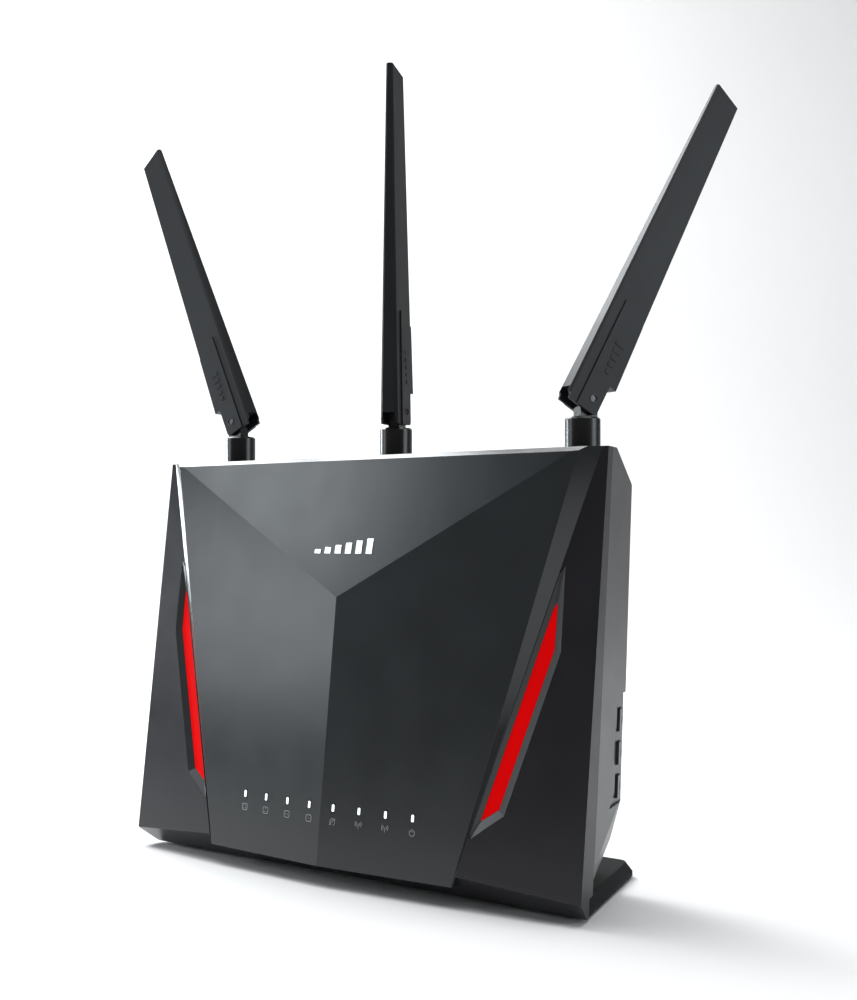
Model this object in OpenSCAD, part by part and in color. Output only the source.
// Desktop wireless router: faceted front shield, tapered case on a flat stand, three folding antennas.
// X is across the front, Y runs from front to back, Z is up. The origin is on the table under the
// middle of the stand.

/* [Case] */
// Width across the two front corners
body_w = 220; // [212:1:228]
// Height of the case top above the table
body_h = 160.8; // [156:0.2:166]
// Y of the front corners at their lower end
front_y = -44; // [-46:0.5:-42]
// Height of the lower end of the front corners
front_z = 7.6; // [7:0.1:8.2]
// Angle at which the front leans back
lean_angle = 6.8; // [6.2:0.1:7.4]
// Angle at which the sides close in towards the back
side_taper = 18; // [16:0.5:19]
// Y of the upright back wall
rear_y = 9.9; // [9:0.1:11]
// Thickness of the moulded walls
wall = 2.4; // [2:0.1:2.8]

/* [Shield] */
// How far the lower end of the centre ridge stands in front of the corners
ridge_out = 9.2; // [8:0.1:10]
// Height at which the three facets meet
crease_z = 106.8; // [100:0.2:112]
// Half width of the shield at the top
shield_top = 101; // [99:0.5:102]
// Half width of the shield at the bottom
shield_low = 59.8; // [56:0.2:62]
// Thickness of the shield
shield_wall = 2.2; // [1.8:0.1:2.6]

/* [Accents] */
// Depth of the coloured inlay under the corner panel
accent_depth = 1.2; // [0.8:0.1:1.4]

/* [Indicators] */
// Number of indicator lights
led_count = 8; // [6:2:8]
// Distance from one light to the next
led_pitch = 12; // [10:0.5:13]
// Height of the lights
led_z = 29.3; // [27:0.1:32]

/* [Antennas] */
// Distance from one antenna to the next
antenna_pitch = 87.5; // [84:0.5:89]
// Y of the antenna collars
antenna_y = -7; // [-8:0.5:-6]
// Radius of a collar
collar_r = 6.45; // [6.3:0.05:6.6]
// Height of the top of a collar
collar_top = 172.6; // [172:0.2:172.6]
// Height of the hinge pins
hinge_z = 179.3; // [179:0.1:180]
// Length of a blade from its hinge to its tip
blade_l = 137.4; // [110:0.2:150]
// Thickness of a blade at its hinge
blade_t = 8.2; // [7.8:0.1:8.8]
// Thickness of a blade at its tip
tip_t = 3.8; // [3.4:0.1:5]
// Radius of a hinge pin
pin_r = 1.2; // [1:0.05:1.4]

/* [Ports] */
// Height of the sockets on the back
port_z = 34; // [33:0.5:36]
// Distance from one network socket to the next in the block of four
lan_pitch = 14.2; // [14:0.1:15]

/* [Hidden] */
$fn = 48;

big = 500;
gap = 0.1;
half_w = body_w / 2;
lean = tan(lean_angle);

// Corner panels sweep forward from the corners towards the shield
panel_sweep = 0.11;
// The corner panels' plane, as a y for any x and z
function panel_y(x, z) = front_y + lean * (z - front_z) - panel_sweep * (half_w - abs(x));

// The two lower facets, as a y for any x and z
facet_lean = 0.1099;
facet_sweep = 0.0632;
function facet_y(x, z) = front_y - ridge_out + facet_lean * (z - front_z) + facet_sweep * abs(x);
crease_y = facet_y(0, crease_z);
shield_top_y = facet_y(shield_top, body_h);
cap_slope = (shield_top_y - crease_y) / (body_h - crease_z);
top_bevel = 1.3;

// Outer edge of the bevelled band beside the shield: half width at the bottom and at the top
foot_low = shield_low + 0.4;
foot_top = shield_top + 6.8;
foot_slope = (foot_top - foot_low) / (body_h - front_z);
function foot_x(z) = foot_low + foot_slope * (z - front_z);
band_a = [shield_top, shield_top_y, body_h];
band_b = [shield_low, facet_y(shield_low, front_z), front_z];
band_c = [foot_top, panel_y(foot_top, body_h), body_h];
band_n = cross(band_b - band_a, band_c - band_a);

// Case planes
side_tilt = atan(lean * sin(side_taper));
side_n = [cos(side_taper), sin(side_taper), -lean * sin(side_taper)];
roof_back_y = -14;
roof_low_z = body_h - 12.2;
sole_front = [0, -36, 5];
sole_back_z = 18.7;
// The sides' lower back corners are cut away by a plane
cut_point = [92.9, rear_y, 34];
cut_n = [0.9, 0.42, -0.28];
parting_low = -29;
parting_slope = 0.0587;
rim_depth = 3;
lip_z = 1;
lip_back = -33.1;
function mirror_x(v, s) = [v.x * s, v.y, v.z];
function parting_y(z) = parting_low + parting_slope * (z - front_z);

// Board and parts inside
board_t = 1.6;
board_back = -10.4;
board_front = board_back - board_t;
board_w = 166;
board_low = 22;
board_top = 142;
post_x = 78;
post_z = [48, 112];
led_board_back = -35.6;
led_board_t = 1.4;
// Bosses behind the lights, and above them the bosses over the stand's screws
boss_x = 50;
base_screw_y = -18;
// Screws through the heat sink: the middle between them, half their distance, and their heights
sink_x = -8;
sink_half = 38;
sink_zs = [62, 98];
case_screw_x = 72;
case_screw_z = 17;
screw_r = 1.2;
tap_r = 1.15;

// Stand
stand_low = 1;
stand_edge = 2.6;
stand_top = 6;
stand_chamfer = 2.6;
stand_front = -33;
stand_back = 36;
stand_corner = 8;

// Ports on the back, from left to right seen from the front
power_x = -76;
dc_x = -63;
usb2_x = -48;
usb3_x = -31.5;
wan_x = -12;
lan_x = 35;
reset_x = 70;
jack_w = 13.6;
jack_h = 13.6;
jack_gap = 0.3;
usb_w = 13.2;
usb_h = 5.8;

// Antennas: x, direction of the fold seen from above, tilt from upright
antenna_xs = [-antenna_pitch, 0, antenna_pitch];
fold_dirs = [179, 109, 67.5];
tilts = [26.2, 0, 30.3];
hinge_off = 2;
boss_r = 8.6;
boss_top = 160.1;
boss_low = 149;
barrel_r = 3.1;
nut_h = 2;
collar_low = boss_top + 0.4;
slot_half = 2.6;
tongue_half = 2.3;
tongue_r = 4.4;
stem_low = 169.5;
stem_r = 3.98;

// Everything behind a plane through p with outward normal n
module behind(p, n, inset = 0) {
    u = n / norm(n);
    translate(p - u * inset)
        rotate([0, acos(u.z), atan2(u.y, u.x)])
            translate([-big / 2, -big / 2, -big]) cube(big);
}

// Solid between two rings that have the same number of points
module loft(a, b) {
    n = len(a);
    sides = [for (i = [0 : n - 1]) [i, (i + 1) % n, n + (i + 1) % n, n + i]];
    low = [[for (i = [n - 1 : -1 : 0]) i]];
    high = [[for (i = [0 : n - 1]) n + i]];
    polyhedron(concat(a, b), concat(sides, low, high));
}

// Box given by its lowest and highest corners
module span(a, b) {
    translate(a) cube(b - a);
}

// Closed ring of material whose cross-section runs through the given rings
module band(rings) {
    n = len(rings[0]);
    m = len(rings);
    polyhedron([for (r = rings, p = r) p],
        [for (k = [0 : m - 1], i = [0 : n - 1]) [k * n + i, k * n + (i + 1) % n,
            (k + 1) % m * n + (i + 1) % n, (k + 1) % m * n + i]]);
}

// The children as they are on the right hand, or mirrored for the left hand
module on_hand(s) {
    if (s < 0) mirror([1, 0, 0]) children();
    else children();
}

// Upright outline in X and Z, made solid from y0 to y1
module plate_xz(points, y0, y1) {
    translate([0, y1, 0]) rotate([90, 0, 0]) linear_extrude(y1 - y0) polygon(points);
}

// Local frame of the right side face: x out of the face, y to the back, z up
module on_side() {
    translate([half_w, front_y, front_z]) rotate([0, 0, side_taper]) rotate([0, side_tilt, 0])
        children();
}

// Round bar or hole along Y
module along_y(x, z, y0, y1, r) {
    translate([x, y1, z]) rotate([90, 0, 0]) cylinder(h = y1 - y0, r = r);
}

// ---------- Case shells ----------

module shield_form(inset) {
    intersection() {
        behind([0, front_y - ridge_out, front_z], [facet_sweep, -1, facet_lean], inset);
        behind([0, front_y - ridge_out, front_z], [-facet_sweep, -1, facet_lean], inset);
        behind([0, crease_y, crease_z], [0, -1, cap_slope], inset);
        behind([0, shield_top_y, body_h - top_bevel], [0, -1, 1.1], inset);
        behind(band_a, band_n, inset);
        behind(mirror_x(band_a, -1), mirror_x(band_n, -1), inset);
        behind([foot_low, 0, front_z], [1, 0, -foot_slope], inset);
        behind([-foot_low, 0, front_z], [-1, 0, -foot_slope], inset);
        behind([0, 0, body_h], [0, 0, 1], inset);
        behind([0, 0, front_z], [0, 0, -1], inset);
    }
}

module front_shield() {
    color("#3c4043") difference() {
        union() {
            intersection() {
                difference() {
                    shield_form(0);
                    shield_form(shield_wall);
                }
                behind([0, front_y + rim_depth, front_z], [0, 1, -lean]);
            }
            intersection() {
                shield_form(1);
                for (s = [-1, 1]) along_y(s * boss_x, led_z, -60, -37.1, 2.4);
            }
        }
        led_bars(0.1, -60, -40);
        for (s = [-1, 1]) along_y(s * boss_x, led_z, -45, -37, 0.9);
        badge_marks(0.05, 2);
    }
}

module led_bars(grow, y0, y1) {
    for (i = [0 : led_count - 1]) {
        x = (i - (led_count - 1) / 2) * led_pitch;
        span([x - 0.75 - grow, y0, led_z - 1.7 - grow], [x + 0.75 + grow, y1, led_z + 1.7 + grow]);
    }
}

// Row of upright bars that rise to the right, on the middle of the top facet
badge_low = 123.2;
badge_bars = 6;
badge_pitch = 5.2;

module badge_marks(grow, proud) {
    intersection() {
        difference() {
            shield_form(-proud);
            shield_form(0.6);
        }
        for (i = [0 : badge_bars - 1]) {
            x = (i - (badge_bars - 1) / 2) * badge_pitch;
            span([x - 1.5 - grow, -60, badge_low - grow],
                [x + 1.5 + grow, -20, badge_low + 1.6 + 0.84 * i + grow]);
        }
    }
}

module front_badge() {
    color("#c9cccd") badge_marks(0, 0.25);
}

module frame_form(inset) {
    intersection() {
        behind([half_w, front_y, front_z], [panel_sweep, -1, lean], inset);
        behind([-half_w, front_y, front_z], [-panel_sweep, -1, lean], inset);
        behind([half_w, front_y, front_z], side_n, inset);
        behind([-half_w, front_y, front_z], mirror_x(side_n, -1), inset);
        behind([0, 0, body_h], [0, 0, 1], inset);
        behind([0, front_y, front_z], [0, -5.8, -7.5], inset);
    }
}

module front_frame() {
    color("#26262a") {
        frame_shell();
        difference() {
            intersection() {
                frame_form(wall - 0.5);
                for (s = [-1, 1])
                    along_y(s * case_screw_x, case_screw_z, -50, parting_y(case_screw_z) - 0.1, 3.2);
            }
            for (s = [-1, 1]) along_y(s * case_screw_x, case_screw_z, -40, -20, tap_r);
        }
    }
}

module frame_shell() {
    difference() {
        intersection() {
            frame_form(0);
            behind([0, 0, lip_z], [0, 0, -1]);
            behind([0, parting_low, front_z], [0, 1, -parting_slope]);
            union() {
                behind([0, lip_back, 0], [0, 1, 0]);
                behind([0, 0, front_z], [0, 0, -1]);
            }
        }
        intersection() {
            frame_form(wall);
            behind([0, 0, front_z + wall], [0, 0, -1]);
        }
        intersection() {
            behind([foot_low, 0, front_z], [1, 0, -foot_slope], -gap);
            behind([-foot_low, 0, front_z], [-1, 0, -foot_slope], -gap);
            behind([0, front_y + rim_depth, front_z], [0, 1, -lean], -gap);
            behind([0, 0, front_z], [0, 0, -1], -gap);
        }
        for (s = [-1, 1]) on_hand(s)
            loft(accent_ring(recess_line(-1), 30), accent_ring(recess_line(-1), -3));
    }
}

// Corners of the right accent as [x, z]: its recess, whose inner edge keeps clear of the shield, and its inlay
function recess_line(clear) = [[foot_x(119.6) + 1.5, 119.6], [96.8, 90.2], [79, 33.7],
    [foot_x(24.6) + 0.8, 24.6], [foot_x(26.6) + clear, 26.6], [foot_x(117) + clear, 117]];
function inlay_line() = [[93.7, 107], [93.6, 90.8], [76.2, 35.4], [69.2, 30.8],
    [foot_x(33) + 1.8, 33], [foot_x(105) + 1.8, 105]];

// An outline set under the corner panel's face by a depth
function accent_ring(line, depth) = [for (p = line) [p.x, panel_y(p.x, p.y) + depth, p.y]];

// An outline drawn in towards its middle by a small length
accent_middle = [84, 72];
function shrink(line, by) = [for (p = line) p - (p - accent_middle) / norm(p - accent_middle) * by];

// Sloped frame round an inlay
module accent_bezel() {
    outer = shrink(recess_line(0.2), 0.06);
    band([accent_ring(outer, 0), accent_ring(inlay_line(), accent_depth),
        accent_ring(inlay_line(), wall + 1), accent_ring(outer, wall + 1)]);
}

module accent_inlay() {
    line = shrink(inlay_line(), 0.08);
    loft(accent_ring(line, wall + 0.8), accent_ring(line, accent_depth));
}

module accent_bezel_left() { color("#1d1f21") on_hand(-1) accent_bezel(); }
module accent_bezel_right() { color("#1d1f21") on_hand(1) accent_bezel(); }
module accent_inlay_left() { color("#e0000a") on_hand(-1) accent_inlay(); }
module accent_inlay_right() { color("#e0000a") on_hand(1) accent_inlay(); }

module case_form(inset) {
    intersection() {
        behind([half_w, front_y, front_z], side_n, inset);
        behind([-half_w, front_y, front_z], mirror_x(side_n, -1), inset);
        behind([0, 0, body_h], [0, 0, 1], inset);
        behind([0, roof_back_y, body_h], [0, body_h - roof_low_z, rear_y - roof_back_y], inset);
        behind([0, rear_y, 0], [0, 1, 0], inset);
        behind(sole_front, [0, sole_back_z - sole_front.z, sole_front.y - rear_y], inset);
        behind(cut_point, cut_n, inset);
        behind(mirror_x(cut_point, -1), mirror_x(cut_n, -1), inset);
    }
}

module rear_cover() {
    color("#5a5e60") difference() {
        union() {
            intersection() {
                difference() {
                    case_form(0);
                    case_form(wall);
                }
                behind([0, parting_low, front_z], [0, -1, parting_slope], gap);
            }
            for (x = antenna_xs) translate([x, antenna_y, boss_low])
                cylinder(h = boss_top - boss_low, r = boss_r);
            intersection() {
                case_form(1);
                union() {
                    for (s = [-1, 1], z = post_z) along_y(s * post_x, z, board_back, rear_y, 3);
                    for (s = [-1, 1]) translate([s * boss_x, base_screw_y, 0]) cylinder(h = 24, r = 4);
                    for (s = [-1, 1])
                        along_y(s * case_screw_x, case_screw_z, parting_y(case_screw_z) + 0.1, 9, 3.4);
                }
            }
        }
        for (s = [-1, 1]) {
            along_y(s * case_screw_x, case_screw_z, -40, 0, screw_r + 0.1);
            along_y(s * case_screw_x, case_screw_z, -8, 12, 2.6);
        }
        for (x = antenna_xs) translate([x, antenna_y, boss_low - 1]) cylinder(h = 20, r = barrel_r + 0.15);
        for (s = [-1, 1], z = post_z) along_y(s * post_x, z, board_back - 1, board_back + 10, tap_r);
        for (s = [-1, 1]) translate([s * boss_x, base_screw_y, 0]) cylinder(h = 20, r = tap_r);
        port_holes();
        rear_vents();
        sole_vents();
        on_side() side_pocket();
    }
}

module port_holes() {
    y0 = rear_y - 5;
    y1 = rear_y + 5;
    along_y(power_x, port_z, y0, y1, 4.6);
    along_y(dc_x, port_z, y0, y1, 4.5);
    for (x = [usb2_x, usb3_x])
        span([x - usb_w / 2 - jack_gap, y0, port_z - usb_h / 2 - jack_gap],
            [x + usb_w / 2 + jack_gap, y1, port_z + usb_h / 2 + jack_gap]);
    span([wan_x - jack_w / 2 - 1.2, y0, port_z - jack_h / 2 - jack_gap],
        [wan_x + jack_w / 2 + 1.2, y1, port_z + jack_h / 2 + jack_gap]);
    span([lan_x - 2 * lan_pitch - 1, y0, port_z - jack_h / 2 - jack_gap],
        [lan_x + 2 * lan_pitch + 1, y1, port_z + jack_h / 2 + jack_gap]);
    along_y(reset_x, port_z, y0, y1, 1.7);
}

// Slanted slots in two fields on the back wall
module rear_vents() {
    for (s = [-1, 1], row = [0 : 2], i = [0 : 9])
        plate_xz(slant(s, 18 + i * 6.2, 66 + row * 22), rear_y - 5, rear_y + 5);
}

function slant(s, x, z) = [[s * x, z], [s * (x + 2.4), z], [s * (x + 6.4), z + 17], [s * (x + 4), z + 17]];

// Row of slots in the sloping sole
module sole_vents() {
    for (i = [-8 : 8]) span([i * 9 - 1.4, -6, 0], [i * 9 + 1.4, 4, 24]);
}

// Stepped pocket round the three side buttons, and the holes that they work in
button_y = 50;
button_zs = [32, 44, 56];
button_h = 8;
button_w = 4.6;

module side_pocket() {
    steps = [[36, 26], [43, 31], [43, 37], [39, 39.4], [41, 41], [41, 50], [39, 51.4], [43, 54], [43, 61],
        [49, 65.5], [60, 65.5], [60, 26]];
    translate([-0.9, 0, 0]) rotate([90, 0, 90]) linear_extrude(4)
        polygon([for (p = steps) [p.x, p.y]]);
    for (z = button_zs) button_block(z, -6, 2, 0.35);
}

module button_block(z, x0, x1, grow) {
    span([x0, button_y - button_w / 2 - grow, z - button_h / 2 - grow],
        [x1, button_y + button_w / 2 + grow, z + button_h / 2 + grow]);
}

module rear_label() {
    color("#d8d8d4") span([-34, rear_y, 46], [34, rear_y + 0.15, 62]);
}

// ---------- Stand ----------

// Half width of the stand at a y, in line with the case's sides
function stand_half(y) = half_w - (y - front_y) * tan(side_taper) - 0.6;

// The stand's outline at a height, drawn in by inset, with round back corners
function stand_ring(inset, z) = let (
        y = stand_back - stand_corner,
        x = stand_half(0) - (stand_corner + y * sin(side_taper)) / cos(side_taper),
        r = stand_corner - inset,
        right = concat([[stand_half(stand_front) - inset / cos(side_taper), stand_front, z]],
            [for (a = [side_taper : 9 : 90]) [x + r * cos(a), y + r * sin(a), z]]))
    concat(right, [for (i = [len(right) - 1 : -1 : 0]) mirror_x(right[i], -1)]);

module base_stand() {
    color("#1c1d1f") difference() {
        union() {
            translate([0, 0, stand_low]) linear_extrude(stand_edge - stand_low)
                polygon([for (p = stand_ring(0, 0)) [p.x, p.y]]);
            loft(stand_ring(stand_chamfer, stand_top), stand_ring(0, stand_edge));
            span([-66, stand_front, stand_low + 1], [66, -6, 20]);
        }
        case_form(-0.05);
        intersection() {
            frame_form(-0.1);
            behind([0, parting_low, front_z], [0, 1, -parting_slope], -0.2);
            behind([0, 0, front_z], [0, 0, -1], -0.05);
        }
        for (s = [-1, 1]) translate([s * boss_x, base_screw_y, 0]) {
            cylinder(h = 14, r = screw_r + 0.3);
            cylinder(h = 4, r = 2.8);
        }
    }
}

module front_foot() {
    color("#101010") span([-70, -31.5, 0], [70, -25.5, stand_low]);
}

module rear_feet() {
    color("#101010") for (s = [-1, 1]) translate([s * 70, 24, 0]) cylinder(h = stand_low, r = 5);
}

// ---------- Boards and parts inside ----------

module main_board() {
    color("#1c5a3a") difference() {
        span([-board_w / 2, board_front, board_low], [board_w / 2, board_back, board_top]);
        for (s = [-1, 1], z = post_z) along_y(s * post_x, z, board_front - 1, board_back + 1, screw_r + 0.2);
        for (s = [-1, 1], z = sink_zs)
            along_y(s * sink_half + sink_x, z, board_front - 1, board_back + 1, screw_r + 0.1);
    }
}

module chips() {
    color("#1a1a1c") {
        span([-24, board_front - 1.2, 68], [-4, board_front, 88]);
        for (x = [6, 20]) span([x, board_front - 1.2, 66], [x + 9, board_front, 80]);
        for (x = [44, 57]) span([x, board_front - 1, 100], [x + 9, board_front, 109]);
        span([6, board_front - 1.2, 88], [18, board_front, 100]);
    }
}

module thermal_pads() {
    color("#b9bfd0") {
        span([-24, board_front - 2, 68], [-4, board_front - 1.2, 88]);
        span([42, board_front - 3.8, 96], [68, board_front - 3, 114]);
    }
}

module heat_sink(a, b, base_t, fin_h, pitch, y) {
    span([a.x, y - base_t, a.y], [b.x, y, b.y]);
    for (x = [a.x : pitch : b.x - 1]) span([x, y - base_t - fin_h, a.y], [x + 1, y - base_t + 0.01, b.y]);
}

module main_heat_sink() {
    color("#aeb3b6") difference() {
        heat_sink([-50, 54], [34, 106], 2.4, 8, 4.5, board_front - 2);
        for (s = [-1, 1], z = sink_zs) along_y(s * sink_half + sink_x, z, board_front - 20, board_front, 2.4);
    }
}

module radio_heat_sink() {
    color("#aeb3b6") heat_sink([38, 92], [72, 118], 2, 6, 4, board_front - 3.8);
}

module radio_shields() {
    color("#c3c6c8") {
        can([40, 94], [70, 116]);
        can([-72, 110], [-54, 134]);
    }
}

module can(a, b) {
    difference() {
        span([a.x, board_front - 3, a.y], [b.x, board_front, b.y]);
        span([a.x + 0.4, board_front - 2.6, a.y + 0.4], [b.x - 0.4, board_front + 1, b.y - 0.4]);
    }
}

// One network socket: metal-sided box with a plug cavity and a latch groove, open to the back
module jack_cavity(x) {
    span([x - 5.9, rear_y - 15, port_z - 4], [x + 5.9, rear_y + 1, port_z + 4.3]);
    span([x - 3, rear_y - 15, port_z - 6], [x + 3, rear_y + 1, port_z - 3.9]);
}

module lan_jacks() {
    color("#c9b13a") difference() {
        span([lan_x - 2 * lan_pitch - 0.6, board_back, port_z - jack_h / 2],
            [lan_x + 2 * lan_pitch + 0.6, rear_y - 0.4, port_z + jack_h / 2]);
        for (i = [-1.5 : 1.5]) jack_cavity(lan_x + i * lan_pitch);
    }
}

module wan_jack() {
    color("#2f62b5") difference() {
        span([wan_x - jack_w / 2 - 0.8, board_back, port_z - jack_h / 2],
            [wan_x + jack_w / 2 + 0.8, rear_y - 0.4, port_z + jack_h / 2]);
        jack_cavity(wan_x);
    }
}

module usb_port(x) {
    difference() {
        span([x - usb_w / 2, board_back, port_z - usb_h / 2], [x + usb_w / 2, rear_y - 0.3, port_z + usb_h / 2]);
        span([x - 6.25, rear_y - 14, port_z - 2.56], [x + 6.25, rear_y + 1, port_z + 2.56]);
    }
    span([x - 5.5, rear_y - 14.1, port_z + 0.3], [x + 5.5, rear_y - 2, port_z + 2]);
}

module usb2_port() { color("#b8bbbd") usb_port(usb2_x); }
module usb3_port() { color("#7f9fd0") usb_port(usb3_x); }

module dc_jack() {
    color("#161617") {
        difference() {
            union() {
                along_y(dc_x, port_z, rear_y - 3, rear_y - 0.2, 4.3);
                span([dc_x - 4.5, board_back, port_z - 5.2], [dc_x + 4.5, rear_y - 3, port_z + 5.2]);
            }
            along_y(dc_x, port_z, rear_y - 12, rear_y + 1, 3.1);
        }
        along_y(dc_x, port_z, rear_y - 12.5, rear_y - 1.5, 1);
    }
}

module rear_switches() {
    color("#2a2a2c") {
        span([power_x - 4.2, board_back, port_z - 4.2], [power_x + 4.2, rear_y - 10, port_z + 4.2]);
        span([reset_x - 3, board_back, port_z - 3], [reset_x + 3, rear_y - 16, port_z + 3]);
    }
}

module power_button() {
    color("#303235") {
        along_y(power_x, port_z, rear_y - 6, rear_y + 1.4, 4.2);
        along_y(power_x, port_z, rear_y - 8.2, rear_y - 5.9, 2);
    }
}

module reset_button() {
    color("#7a2020") along_y(reset_x, port_z, rear_y - 15.2, rear_y - 1, 1.2);
}

module side_button(z) {
    on_side() {
        difference() {
            button_block(z, -3.6, 0.1, 0);
            translate([0.5, button_y, z]) rotate([0, 90, 0]) cylinder(h = 1, r = 1.5, center = true);
        }
        span([-4.4, button_y - button_w / 2 - 1, z - button_h / 2 - 1],
            [-3.5, button_y + button_w / 2 + 1, z + button_h / 2 + 1]);
    }
}

module led_button() { color("#3a3d40") side_button(button_zs[0]); }
module wifi_button() { color("#3a3d40") side_button(button_zs[1]); }
module wps_button() { color("#3a3d40") side_button(button_zs[2]); }

module side_switches() {
    color("#d0d0cc") on_side() for (z = button_zs)
        span([-8, button_y - 2, z - 2], [-5.4, button_y + 2, z + 2]);
}

module side_button_board() {
    color("#1c5a3a") on_side() span([-9.2, button_y - 4.6, 24], [-8, button_y + 2.6, 62]);
}

module led_board() {
    color("#1c5a3a") {
        difference() {
            span([-54, led_board_back - led_board_t, 23], [54, led_board_back, 37]);
            for (s = [-1, 1]) along_y(s * boss_x, led_z, -38, -35, 1.1);
        }
        for (i = [0 : led_count - 1]) {
            x = (i - (led_count - 1) / 2) * led_pitch;
            span([x - 1, -38.2, led_z - 1.2], [x + 1, -37, led_z + 1.2]);
        }
    }
}

module light_guides() {
    color("#f4f8fa") intersection() {
        led_bars(0, -60, -38.4);
        shield_form(-0.12);
    }
}

module magnetics() {
    color("#202022") for (x = [lan_x - 14, lan_x + 14, wan_x])
        span([x - 8, board_front - 5, port_z - 6], [x + 8, board_front, port_z + 6]);
}

module capacitors() {
    color("#2b3a5e") for (p = [[-72, 60], [-72, 72], [-58, 48], [60, 64], [72, 72]])
        along_y(p.x, p.y, board_front - 10, board_front, 4);
}

module inductors() {
    color("#4a4a4c") for (p = [[-66, 38], [48, 50], [64, 50]])
        span([p.x - 4, board_front - 4, p.y - 4], [p.x + 4, board_front, p.y + 4]);
}

// ---------- Antenna sockets and leads ----------

module antenna_sockets() {
    color("#c8a24a") for (x = antenna_xs) translate([x, antenna_y, 0]) difference() {
        union() {
            translate([0, 0, 145]) cylinder(h = 23, r = barrel_r);
            translate([0, 0, boss_low - 2]) cylinder(h = 2, r = 4.6, $fn = 6);
            translate([0, 0, 142]) cylinder(h = 3, r = 1.4);
        }
        translate([0, 0, 160]) cylinder(h = 9, r = 2.3);
    }
}

module socket_nuts() {
    color("#bfc3c6") for (x = antenna_xs) translate([x, antenna_y, boss_top]) difference() {
        cylinder(h = nut_h, r = 4.6, $fn = 6);
        translate([0, 0, -1]) cylinder(h = nut_h + 2, r = barrel_r + 0.05);
    }
}

// Thin leads from the sockets down to plugs on the board
lead_r = 0.65;
lead_plug_xs = [-75.5, 4, 77.5];
lead_top = 142;
lead_straight = 139;
lead_end = 119;

// A lead's path from x0 to x1, straight at first and then in an even bend towards the board
function lead_path(x0, x1) = concat([[x0, antenna_y, lead_top]],
    [for (k = [0 : 7]) let (t = k / 7, s = t * t * (3 - 2 * t))
        [x0 + (x1 - x0) * s, antenna_y - 2.6 * s, lead_straight + (lead_end - lead_straight) * t]]);

module antenna_leads() {
    color("#202020") for (i = [0 : 2]) {
        tube(lead_path(antenna_xs[i], lead_plug_xs[i]), lead_r);
        span([lead_plug_xs[i] - 1.4, board_back, lead_end - 2.6],
            [lead_plug_xs[i] + 1.4, board_back + 1.5, lead_end + 0.2]);
    }
}

// Round lead with a ring of eight points at each point of its path
module tube(path, r) {
    sides = 8;
    n = len(path);
    points = [for (i = [0 : n - 1]) let (
            t = path[min(i + 1, n - 1)] - path[max(i - 1, 0)],
            a = cross(t, [0, 1, 0]) / norm(cross(t, [0, 1, 0])),
            b = cross(t, a) / norm(cross(t, a)))
        for (k = [0 : sides - 1]) path[i] + r * (a * cos(k * 360 / sides) + b * sin(k * 360 / sides))];
    walls = [for (i = [0 : n - 2], k = [0 : sides - 1]) [i * sides + k, (i + 1) * sides + k,
        (i + 1) * sides + (k + 1) % sides, i * sides + (k + 1) % sides]];
    polyhedron(points, concat(walls, [[for (k = [0 : sides - 1]) k]],
        [[for (k = [sides - 1 : -1 : 0]) (n - 1) * sides + k]]));
}

module inner_antenna() {
    color("#d9b25a") mirror([1, 0, 0]) on_side() span([-wall - 0.8, 22, 55], [-wall - 0.05, 34, 112]);
}

// ---------- Fasteners ----------

module screw_y(x, z, y, length, head_r) {
    along_y(x, z, y - 1.4, y, head_r);
    along_y(x, z, y - 0.1, y + length, screw_r - 0.15);
}

module board_screws() {
    color("#9aa0a4") {
        for (s = [-1, 1], z = post_z) screw_y(s * post_x, z, board_front, 8, 2.4);
        for (s = [-1, 1], z = sink_zs) screw_y(s * sink_half + sink_x, z, board_front - 2 - 2.4, 6.5, 2.2);
        for (s = [-1, 1]) {
            along_y(s * boss_x, led_z, led_board_back, led_board_back + 1.2, 1.8);
            along_y(s * boss_x, led_z, led_board_back - 5, led_board_back + 0.1, 0.85);
        }
    }
}

module case_screws() {
    color("#303234") for (s = [-1, 1]) {
        along_y(s * case_screw_x, case_screw_z, -8, -6.4, 2.3);
        along_y(s * case_screw_x, case_screw_z, -34, -7.9, screw_r - 0.15);
    }
}

module base_screws() {
    color("#303234") for (s = [-1, 1]) translate([s * boss_x, base_screw_y, 0]) {
        translate([0, 0, 2.4]) cylinder(h = 1.6, r = 2.6);
        translate([0, 0, 3.9]) cylinder(h = 14, r = screw_r - 0.15);
    }
}

// ---------- Antennas ----------

// Frame of an antenna's knuckle: y points the way it folds
module at_hinge(i) {
    translate([antenna_xs[i], antenna_y, 0]) rotate([0, 0, fold_dirs[i] - 90])
        translate([0, hinge_off, hinge_z]) children();
}

module collar(i) {
    translate([antenna_xs[i], antenna_y, 0]) rotate_extrude($fn = 64) polygon([
        [5.2, collar_low], [collar_r - 0.4, collar_low], [collar_r, collar_low + 0.4],
        [collar_r, collar_top - 0.6], [collar_r - 0.6, collar_top], [stem_r + 0.02, collar_top],
        [stem_r + 0.02, stem_low - 0.1], [barrel_r + 0.3, stem_low - 0.1], [barrel_r + 0.3, 163], [5.2, 163]]);
}

module knuckle(i) {
    translate([antenna_xs[i], antenna_y, stem_low]) cylinder(h = collar_top + 0.3 - stem_low, r = stem_r);
    at_hinge(i) difference() {
        intersection() {
            union() {
                rotate([0, 90, 0]) cylinder(h = 2 * tongue_half, r = tongue_r, center = true);
                span([-tongue_half, -tongue_r, collar_top + 0.1 - hinge_z], [tongue_half, 3, 0]);
            }
            span([-tongue_half, -5, collar_top + 0.1 - hinge_z], [tongue_half, 5, 5]);
        }
        rotate([0, 90, 0]) cylinder(h = 20, r = pin_r + 0.02, center = true);
    }
}

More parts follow.
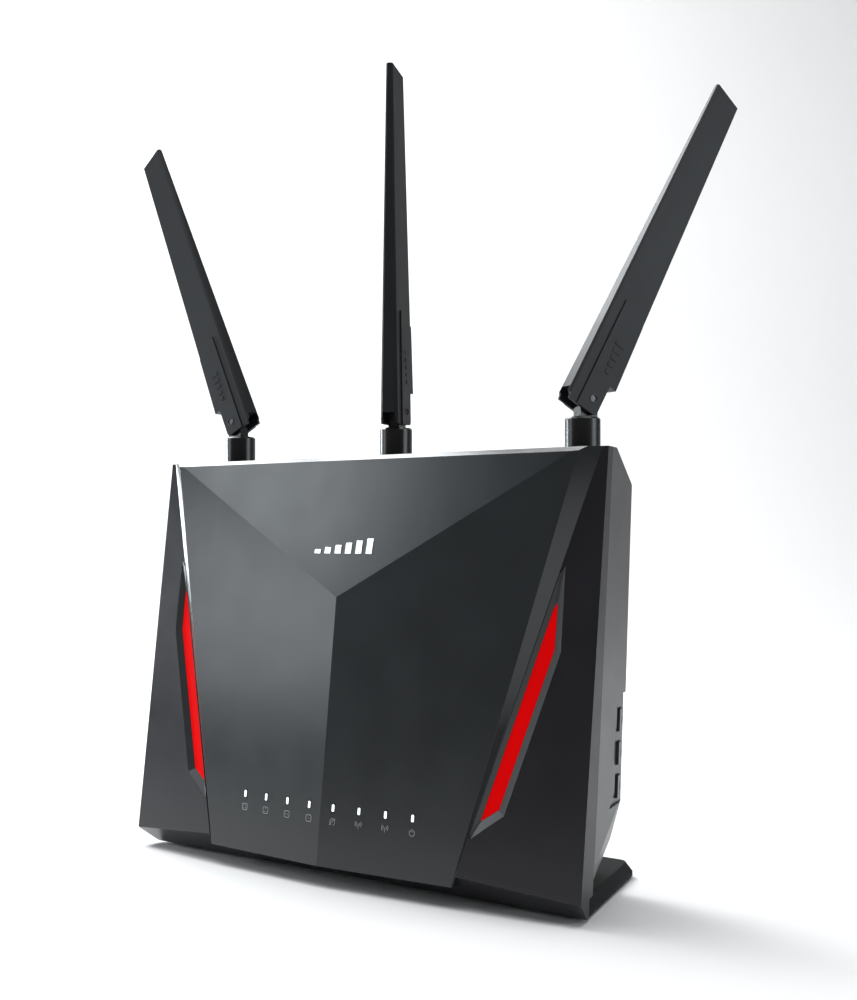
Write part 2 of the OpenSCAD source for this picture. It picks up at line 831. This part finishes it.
module hinge_pin(i) {
    at_hinge(i) rotate([0, 90, 0]) cylinder(h = blade_t - 0.6, r = pin_r, center = true);
}

// Blades, as y across and z along from the hinge. The fork's end is square, with one round corner.
blade_taper = (blade_t - tip_t) / 2 / blade_l;
fork_end = -5.3;
fork_out = 4;
fork_round = 1.7;
fork_corner = [for (a = [-90 : 15 : 0])
    [fork_out - fork_round + fork_round * cos(a), fork_end + fork_round + fork_round * sin(a)]];
heel = [[fork_out, 7.6], [7.1, 7.6]];
spine_y = -10.1;
tip_slant = 2.6;
pad_y = -5.4;
pad_rise = 0.5;
spine_chamfer = 1.4;

// An outline in y and z as a plate that tapers to the tip, its faces lowered by drop, its spine chamfered
module blade_plate(points, drop) {
    intersection() {
        rotate([90, 0, 90]) translate([0, 0, -blade_t]) linear_extrude(2 * blade_t) polygon(points);
        behind([blade_t / 2 - drop, 0, 0], [1, 0, blade_taper]);
        behind([drop - blade_t / 2, 0, 0], [-1, 0, blade_taper]);
        behind([blade_t / 2 - spine_chamfer, spine_y, 0], [1, -1.3, blade_taper]);
        behind([spine_chamfer - blade_t / 2, spine_y, 0], [-1, -1.3, blade_taper]);
    }
}

module blade(i) {
    outline = concat([[spine_y, -2.9], [spine_y + 1.1, -3.6], [spine_y + 1.3, fork_end]], fork_corner, heel,
        [[2.2, blade_l - tip_slant], [-10, blade_l]]);
    pad = concat([[pad_y, fork_end]], fork_corner, heel, [[5.9, 34.4], [pad_y, 39.6]]);
    at_hinge(i) rotate([-tilts[i], 0, 0]) difference() {
        union() {
            blade_plate(outline, pad_rise);
            blade_plate(pad, 0);
        }
        span([-slot_half, -tongue_r - 0.6, -8], [slot_half, 9, tongue_r + 0.8]);
        span([-slot_half, -12, -8], [slot_half, 0, -0.8]);
        span([-1, -6.5, 12], [1, -0.5, 122]);
        rotate([0, 90, 0]) cylinder(h = 20, r = pin_r + 0.05, center = true);
    }
}

module radiator(i) {
    at_hinge(i) rotate([-tilts[i], 0, 0]) span([-0.4, -5.5, 14], [0.4, -1.5, 118]);
}

module collar_left() { color("#151617") collar(0); }
module collar_middle() { color("#151617") collar(1); }
module collar_right() { color("#151617") collar(2); }
module knuckle_left() { color("#151617") knuckle(0); }
module knuckle_middle() { color("#151617") knuckle(1); }
module knuckle_right() { color("#151617") knuckle(2); }
module hinge_pin_left() { color("#8a8e90") hinge_pin(0); }
module hinge_pin_middle() { color("#8a8e90") hinge_pin(1); }
module hinge_pin_right() { color("#8a8e90") hinge_pin(2); }
module blade_left() { color("#34373a") blade(0); }
module blade_middle() { color("#34373a") blade(1); }
module blade_right() { color("#34373a") blade(2); }
module radiator_left() { color("#b07a3a") radiator(0); }
module radiator_middle() { color("#b07a3a") radiator(1); }
module radiator_right() { color("#b07a3a") radiator(2); }

front_shield();
front_frame();
accent_bezel_left();
accent_bezel_right();
accent_inlay_left();
accent_inlay_right();
front_badge();
light_guides();
led_board();
rear_cover();
rear_label();
base_stand();
front_foot();
rear_feet();
main_board();
main_heat_sink();
radio_heat_sink();
thermal_pads();
chips();
radio_shields();
lan_jacks();
wan_jack();
usb2_port();
usb3_port();
dc_jack();
rear_switches();
side_button_board();
side_switches();
magnetics();
capacitors();
inductors();
antenna_sockets();
socket_nuts();
antenna_leads();
inner_antenna();
case_screws();
board_screws();
base_screws();
power_button();
reset_button();
wps_button();
wifi_button();
led_button();
collar_left();
knuckle_left();
hinge_pin_left();
blade_left();
radiator_left();
collar_middle();
knuckle_middle();
hinge_pin_middle();
blade_middle();
radiator_middle();
collar_right();
knuckle_right();
hinge_pin_right();
blade_right();
radiator_right();
